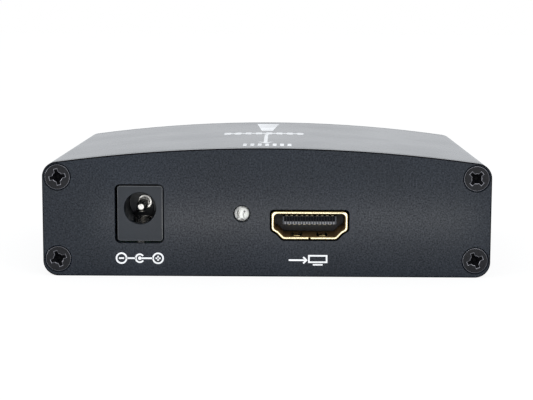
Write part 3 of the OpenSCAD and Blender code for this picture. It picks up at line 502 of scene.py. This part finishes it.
def led():
    """The clear body with its dome and flange, and the cast backing, cup and die behind it."""
    dome = [(LED_R * math.sin(t), LED_R * (1 - math.cos(t)))
            for t in (math.pi / 2 * k / 10 for k in range(11))]
    flange_y = LED_L - LED_FLANGE_L
    lens = dome + [(LED_R, flange_y), (LED_FLANGE_R, flange_y), (LED_FLANGE_R, LED_L), (0, LED_L)]
    backing = [(0, 0.3), (0.7, 0.12), (1.25, 0.3), (1.42, 0.6), (1.42, 3.2), (0, 3.2)]
    cup = [(0, 0.1), (0.8, 0), (0.92, 0.04), (0.92, 0.35), (0, 0.35)]
    die = [(0, -0.05), (0.13, -0.05), (0.13, 0.15), (0, 0.15)]
    piece("led_lens_dressed", turned("led_lens_dressed", lens, (LED_X, led_low.y, LED_Z)),
          "clear_epoxy", ["led_lens"])
    piece("led_backing", turned("led_backing", backing, (LED_X, INSIDE_Y, LED_Z)),
          "clear_epoxy", material=BACKING_GLINTS)
    piece("led_cup", turned("led_cup", cup, (CUP_X, INSIDE_Y, CUP_Z)), "tin_plate", material=CUP_PAINTED_BRIGHT)
    piece("led_die", turned("led_die", die, (CUP_X, INSIDE_Y, CUP_Z + 0.2), 12),
          "tin_plate", material=DIE_GREY)


led()


# Painted marks, all generic. The paint stands INK_T proud, and INK_ROOT of it lies under the surface
INK_T = 0.03
INK_ROOT = 0.02
STROKE = 0.32


def on_front(u, v, h):
    return u, FRONT_Y - h, v


def on_rear(u, v, h):
    return -u, REAR_Y + h, v


def on_top(u, v, h):
    return u, FRONT_Y + v, ARC_Z + math.sqrt(TOP_ARC_R ** 2 - u ** 2) + h


class Paint:
    """Marks on a face of the case. Points are (u, v) in millimetres, and place puts them in space."""

    def __init__(self, place):
        self.place = place
        self.bm = bmesh.new()

    def point(self, u, v, h):
        return self.bm.verts.new(Vector(self.place(u, v, h)) * MM)

    def fill(self, points):
        """A flat patch with a convex outline."""
        tops = [self.point(u, v, INK_T) for u, v in points]
        roots = [self.point(u, v, -INK_ROOT) for u, v in points]
        self.bm.faces.new(tops)
        self.bm.faces.new(roots[::-1])
        for k in range(len(points)):
            self.bm.faces.new((tops[k - 1], roots[k - 1], roots[k], tops[k]))

    def dot(self, u, v, r, steps=20):
        self.fill([(u + r * math.cos(a), v + r * math.sin(a))
                   for a in (2 * math.pi * k / steps for k in range(steps))])

    def line(self, points, width=STROKE, step=1.0):
        """A stroke of one width along straight runs, closed where it ends on its first point."""
        closed = points[0] == points[-1]
        path = []
        for (u0, v0), (u1, v1) in zip(points, points[1:]):
            parts = max(1, math.ceil(math.hypot(u1 - u0, v1 - v0) / step))
            path += [Vector((u0 + (u1 - u0) * k / parts, v0 + (v1 - v0) * k / parts)) for k in range(parts)]
        if not closed:
            path.append(Vector(points[-1]))
        rows = []
        for k, here in enumerate(path):
            before = path[k - 1] if k or closed else here
            after = path[(k + 1) % len(path)] if k < len(path) - 1 or closed else here
            a = (here - before).normalized() if here != before else (after - here).normalized()
            b = (after - here).normalized() if after != here else a
            side = Vector((-(a + b).y, (a + b).x))
            side *= width / max(side.length_squared, 1.0)
            rows.append([self.point(*(here + side * s), h) for s, h in
                         ((1, INK_T), (-1, INK_T), (-1, -INK_ROOT), (1, -INK_ROOT))])
        spans = zip(rows, rows[1:] + rows[:1]) if closed else zip(rows, rows[1:])
        for near, far in spans:
            for k in range(4):
                self.bm.faces.new((near[k - 1], near[k], far[k], far[k - 1]))
        if not closed:
            self.bm.faces.new(rows[0])
            self.bm.faces.new(rows[-1][::-1])

    def arc(self, u, v, r, start, end, steps=24):
        turns = [math.radians(start + (end - start) * k / steps) for k in range(steps + 1)]
        points = [(u + r * math.cos(t), v + r * math.sin(t)) for t in turns]
        if abs(end - start) == 360:
            points[-1] = points[0]
        self.line(points)

    def outline(self, u, v, w, h):
        self.line([(u - w / 2, v - h / 2), (u + w / 2, v - h / 2), (u + w / 2, v + h / 2),
                   (u - w / 2, v + h / 2), (u - w / 2, v - h / 2)])

    def done(self, name, slot="white_plastic", material=INK):
        bmesh.ops.recalc_face_normals(self.bm, faces=self.bm.faces)
        mesh = bpy.data.meshes.new(name)
        self.bm.to_mesh(mesh)
        self.bm.free()
        return piece(name, mesh, slot, material=material)


def polarity_mark(u, v, w, h):
    """Minus, centre contact in its ring, plus."""
    paint = Paint(on_front)
    r = h / 2 - STROKE / 2
    left, right = u - w / 2 + r + STROKE / 2, u + w / 2 - r - STROKE / 2
    for x in (left, right):
        paint.arc(x, v, r, 0, 360)
        paint.line([(x - r / 2, v), (x + r / 2, v)])
    paint.line([(right, v - r / 2), (right, v + r / 2)])
    paint.arc(u, v, 0.8 * r, 35, 325)
    paint.dot(u, v, 0.35 * r)
    paint.line([(left + r, v), (u - 0.8 * r, v)])
    paint.line([(u + 0.3 * r, v), (right - r, v)])
    return paint.done("mark_polarity")


def arrow(paint, u0, u1, v, head):
    """A level arrow from u0 to u1."""
    way = math.copysign(head, u1 - u0)
    paint.line([(u0, v), (u1 - way / 2, v)])
    paint.line([(u1 - way, v - head), (u1, v), (u1 - way, v + head)])


def screen_mark(name, place, u, v, w, h, inward):
    """An arrow and a screen on its foot."""
    paint = Paint(place)
    screen_w = 0.5 * w
    paint.outline(u + w / 2 - screen_w / 2, v + 0.12 * h, screen_w - STROKE, 0.76 * h - STROKE)
    paint.line([(u + w / 2 - 0.75 * screen_w, v - h / 2 + STROKE / 2),
                (u + w / 2 - 0.25 * screen_w, v - h / 2 + STROKE / 2)])
    ends = (u - w / 2, u + w / 2 - screen_w - STROKE)
    arrow(paint, *(ends[::-1] if inward else ends), v, 0.3 * h)
    return paint.done(name)


def sound_mark(u, v, h):
    """A speaker with two waves."""
    paint = Paint(on_rear)
    paint.fill([(u - 0.9 * h, v - 0.18 * h), (u - 0.55 * h, v - 0.18 * h), (u - 0.55 * h, v + 0.18 * h),
                (u - 0.9 * h, v + 0.18 * h)])
    paint.fill([(u - 0.55 * h, v - 0.18 * h), (u - 0.15 * h, v - 0.5 * h), (u - 0.15 * h, v + 0.5 * h),
                (u - 0.55 * h, v + 0.18 * h)])
    for r in (0.3, 0.6):
        paint.arc(u, v, r * h, -50, 50)
    return paint.done("mark_sound")


def flow_mark():
    """A row of bars, an arrow that points to it, a toothed line and a tapered patch."""
    paint = Paint(on_top)
    bars, bars_w, bars_v, bars_l = 7, 10.4, 7.6, 4.8
    for k in range(bars):
        u = bars_w * ((k + 0.5) / bars - 0.5)
        paint.line([(u, bars_v - bars_l / 2), (u, bars_v + bars_l / 2)], 0.75)
    arrow_u, tip_v, tail_v, head_w, head_l = -0.4, 11.4, 31.5, 2.6, 2.2
    paint.line([(arrow_u, tip_v), (arrow_u, tail_v)], 0.75)
    paint.line([(arrow_u - head_w / 2, tip_v + head_l), (arrow_u, tip_v),
                (arrow_u + head_w / 2, tip_v + head_l)], 0.7)
    row_u, row_v, row_w, row_l, teeth, tooth_w = -1.0, 34.2, 17.4, 4.6, 8, 1.3
    paint.line([(row_u - row_w / 2, row_v), (row_u + row_w / 2, row_v)], 1.9)
    for k in range(teeth):
        u = row_u + (row_w - 1.6) * (k / (teeth - 1) - 0.5)
        paint.line([(u, row_v - row_l / 2), (u, row_v + row_l / 2)], tooth_w)
    patch_u, near_v, far_v, near_w, far_w = -0.35, 41, 60, 2.5, 5.1
    paint.fill([(patch_u - near_w / 2, near_v), (patch_u + near_w / 2, near_v),
                (patch_u + far_w / 2, far_v), (patch_u - far_w / 2, far_v)])
    return paint.done("mark_flow")


def on_light(u, v, h):
    return LED_X + u, INSIDE_Y - 0.1 - h, LED_Z + v


def light_wires():
    """The post and the bond wire that show in front of the light's cup."""
    post = Paint(on_light)
    post.line([(-0.78, -0.5), (-0.5, 0.1), (-0.62, 0.85)], 0.2)
    post.done("led_post", "tin_plate", POST_GREY)
    wire = Paint(on_light)
    wire.line([(0.5, 0.4), (0.2, -0.12), (0.34, -0.66)], 0.07)
    wire.done("led_wire", "tin_plate", DIE_GREY)


light_wires()
polarity_mark(-24.92, 3.58, 9.5, 2.3)
screen_mark("mark_output", on_front, 8.2, 3.35, 7.6, 2.1, False)
screen_mark("mark_input", on_rear, -22.0, 3.9, 7.6, 2.1, True)
sound_mark(21.5, 3.9, 2.2)
flow_mark()


# HDMI tongue
TONGUE_CONTACTS = 19
TONGUE_PITCH = 0.53
TONGUE_DEPTH = 1.2


def tongue_strips(name, material, z, w, h, d, proud):
    """A row of small bars, w x h x d, across the tongue's front edge at height z, so far proud of it."""
    low, high = mm_box("hdmi_shell")
    centre = (low.x + high.x) / 2
    face_y = low.y + TONGUE_DEPTH
    bm = bmesh.new()
    for k in range(TONGUE_CONTACTS):
        x = centre + (k - (TONGUE_CONTACTS - 1) / 2) * TONGUE_PITCH
        made = bmesh.ops.create_cube(bm, size=1)["verts"]
        bmesh.ops.scale(bm, vec=(w * MM, d * MM, h * MM), verts=made)
        bmesh.ops.translate(bm, vec=(x * MM, (face_y - proud + d / 2) * MM, z * MM), verts=made)
    bmesh.ops.bevel(bm, geom=bm.edges[:], offset=0.05 * MM, segments=1, affect="EDGES")
    mesh = bpy.data.meshes.new(name)
    bm.to_mesh(mesh)
    bm.free()
    return piece(name, mesh, "black_plastic", material=material)


tongue_strips("hdmi_tongue_ribs", TONGUE_GREY, 10.62, 0.33, 0.52, 0.16, 0.13)
# The dark bars stand for the shade in the contact slots: painted shade
tongue_strips("hdmi_tongue_slot_shade", TONGUE_SLOT_SHADE, 11.42, 0.49, 0.92, 0.14, 0.08)


# Stage, camera and light
def floor():
    """A white floor: mostly glow for the camera and through glass, plain paint for the rest."""
    mesh = bpy.data.meshes.new("floor")
    bm = bmesh.new()
    bmesh.ops.create_grid(bm, x_segments=1, y_segments=1, size=3)
    bm.to_mesh(mesh)
    bm.free()
    obj = bpy.data.objects.new("floor", mesh)
    bpy.context.scene.collection.objects.link(obj)
    material = bpy.data.materials.new("floor")
    material.use_nodes = True
    tree = material.node_tree
    tree.nodes.clear()
    output = tree.nodes.new("ShaderNodeOutputMaterial")
    mix = tree.nodes.new("ShaderNodeMixShader")
    diffuse = tree.nodes.new("ShaderNodeBsdfDiffuse")
    diffuse.inputs["Color"].default_value = (0.95, 0.95, 0.95, 1)
    glow = tree.nodes.new("ShaderNodeEmission")
    glow.inputs["Strength"].default_value = 1.03
    path = tree.nodes.new("ShaderNodeLightPath")
    share = tree.nodes.new("ShaderNodeMath")
    share.operation = "MULTIPLY"
    share.inputs[1].default_value = 0.85
    seen = tree.nodes.new("ShaderNodeMath")
    seen.operation = "MAXIMUM"
    tree.links.new(path.outputs["Is Camera Ray"], seen.inputs[0])
    tree.links.new(path.outputs["Is Transmission Ray"], seen.inputs[1])
    tree.links.new(seen.outputs[0], share.inputs[0])
    tree.links.new(share.outputs[0], mix.inputs["Fac"])
    tree.links.new(diffuse.outputs[0], mix.inputs[1])
    tree.links.new(glow.outputs[0], mix.inputs[2])
    tree.links.new(mix.outputs[0], output.inputs["Surface"])
    mesh.materials.append(material)


def world():
    """White for what the camera, gloss and glass see, and a plain level of light."""
    scene_world = bpy.data.worlds.new("studio")
    bpy.context.scene.world = scene_world
    scene_world.use_nodes = True
    tree = scene_world.node_tree
    background = tree.nodes["Background"]
    tint = tree.nodes.new("ShaderNodeMix")
    tint.data_type = "RGBA"
    tint.inputs["A"].default_value = (0.96, 0.985, 1.02, 1)
    tint.inputs["B"].default_value = (1, 1, 1, 1)
    tree.links.new(tint.outputs["Result"], background.inputs["Color"])
    path = tree.nodes.new("ShaderNodeLightPath")
    seen = tree.nodes.new("ShaderNodeMath")
    seen.operation = "MAXIMUM"
    both = tree.nodes.new("ShaderNodeMath")
    both.operation = "MAXIMUM"
    level = tree.nodes.new("ShaderNodeMapRange")
    level.inputs["To Min"].default_value = 0.92
    level.inputs["To Max"].default_value = 1.0
    tree.links.new(path.outputs["Is Camera Ray"], tint.inputs["Factor"])
    tree.links.new(path.outputs["Is Camera Ray"], seen.inputs[0])
    tree.links.new(path.outputs["Is Glossy Ray"], seen.inputs[1])
    tree.links.new(seen.outputs[0], both.inputs[0])
    tree.links.new(path.outputs["Is Transmission Ray"], both.inputs[1])
    tree.links.new(both.outputs[0], level.inputs["Value"])
    tree.links.new(level.outputs["Result"], background.inputs["Strength"])


def lamp(name, place, target, size, power):
    """A rectangular lamp at place that faces target, both in metres."""
    data = bpy.data.lights.new(name, "AREA")
    data.shape = "RECTANGLE"
    data.size, data.size_y = size
    data.energy = power
    obj = bpy.data.objects.new(name, data)
    bpy.context.scene.collection.objects.link(obj)
    obj.location = place
    obj.rotation_euler = (Vector(target) - Vector(place)).to_track_quat("-Z", "Y").to_euler()
    return obj


def camera():
    """Square on to the output end, a little above it and to its right."""
    data = bpy.data.cameras.new("camera")
    data.lens = 96.1
    data.sensor_width = 36
    obj = bpy.data.objects.new("camera", data)
    bpy.context.scene.collection.objects.link(obj)
    obj.location = (0.003217, -0.308911, 0.051774)
    obj.rotation_euler = (math.radians(90) - 0.13158, -0.00322, 0.01213)
    bpy.context.scene.camera = obj


camera()
floor()
world()
lamp("front_soft", (0.25, -0.5, 0.35), (0, 0, 0.01), (0.5, 0.4), 1.2)
strip = lamp("front_strip", (0.005, -0.095, 0.0025), (0.005, FRONT_Y * MM, 0.012), (0.09, 0.004), 0.0038)
side = lamp("left_side", (-0.3, -0.28, 0.09), (-0.03, FRONT_Y * MM, 0.012), (0.14, 0.12), 0.3)
for light in (strip, side):
    light.visible_camera = False
bpy.context.scene.view_settings.view_transform = "Standard"
